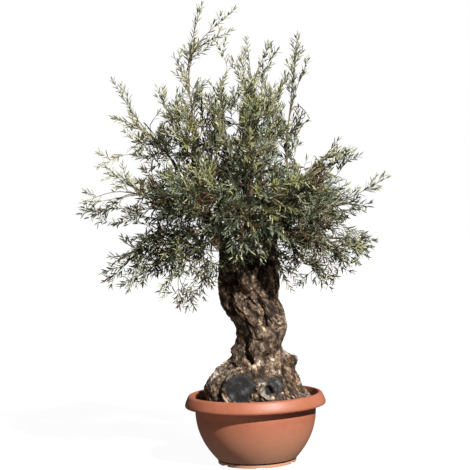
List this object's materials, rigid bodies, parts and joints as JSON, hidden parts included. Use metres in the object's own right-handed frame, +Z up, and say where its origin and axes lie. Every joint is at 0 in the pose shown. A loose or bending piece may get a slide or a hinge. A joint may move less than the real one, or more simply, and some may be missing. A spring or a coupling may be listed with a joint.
{
  "type": "potted olive bonsai",
  "caption": "Old olive trained as a bonsai, with a thick gnarled trunk, limbs, boughs and loose masses of slender leaves, in a round moulded bowl with a deep rim.",
  "frame": {"origin": "centre of the bowl's flat underside, on its axis", "axes": "+Z up along the bowl's axis, -Y towards the side seen in the picture, +X to the right in it"},
  "size_m": [1.443, 1.0757, 2.126],
  "materials": {
    "terracotta_plastic": "matte moulded plastic, terracotta colour, faintly mottled",
    "soil": "dark crumbly potting soil",
    "bark": "rough grey-brown olive bark, scaly low down, with dark sawn roots",
    "olive_leaf": "leathery grey-green leaf, paler underneath"
  },
  "bodies": {
    "root": {"bowl": "terracotta_plastic", "soil": "soil", "trunk": "bark", "left_limb": "bark", "right_limb": "bark", "back_limb": "bark", "bough_top_left": "bark", "bough_top_centre": "bark", "bough_top_right": "bark", "bough_left_high": "bark", "bough_left_top": "bark", "bough_left_mid": "bark", "bough_left_low": "bark", "bough_left_under": "bark", "bough_right_high": "bark", "bough_right_mid": "bark", "bough_right_low": "bark", "bough_front_left": "bark", "bough_front_centre": "bark", "bough_front_right": "bark", "bough_front_top": "bark", "bough_back_left": "bark", "bough_back_centre": "bark", "bough_back_right": "bark", "bough_heart": "bark", "bough_back_top": "bark", "foliage_top_left": "olive_leaf", "foliage_top_centre": "olive_leaf", "foliage_top_right": "olive_leaf", "foliage_left_high": "olive_leaf", "foliage_left_top": "olive_leaf", "foliage_left_mid": "olive_leaf", "foliage_left_low": "olive_leaf", "foliage_left_under": "olive_leaf", "foliage_right_high": "olive_leaf", "foliage_right_mid": "olive_leaf", "foliage_right_low": "olive_leaf", "foliage_front_left": "olive_leaf", "foliage_front_centre": "olive_leaf", "foliage_front_right": "olive_leaf", "foliage_front_top": "olive_leaf", "foliage_back_left": "olive_leaf", "foliage_back_centre": "olive_leaf", "foliage_back_right": "olive_leaf", "foliage_heart": "olive_leaf", "foliage_back_top": "olive_leaf"}
  },
  "joints": []
}
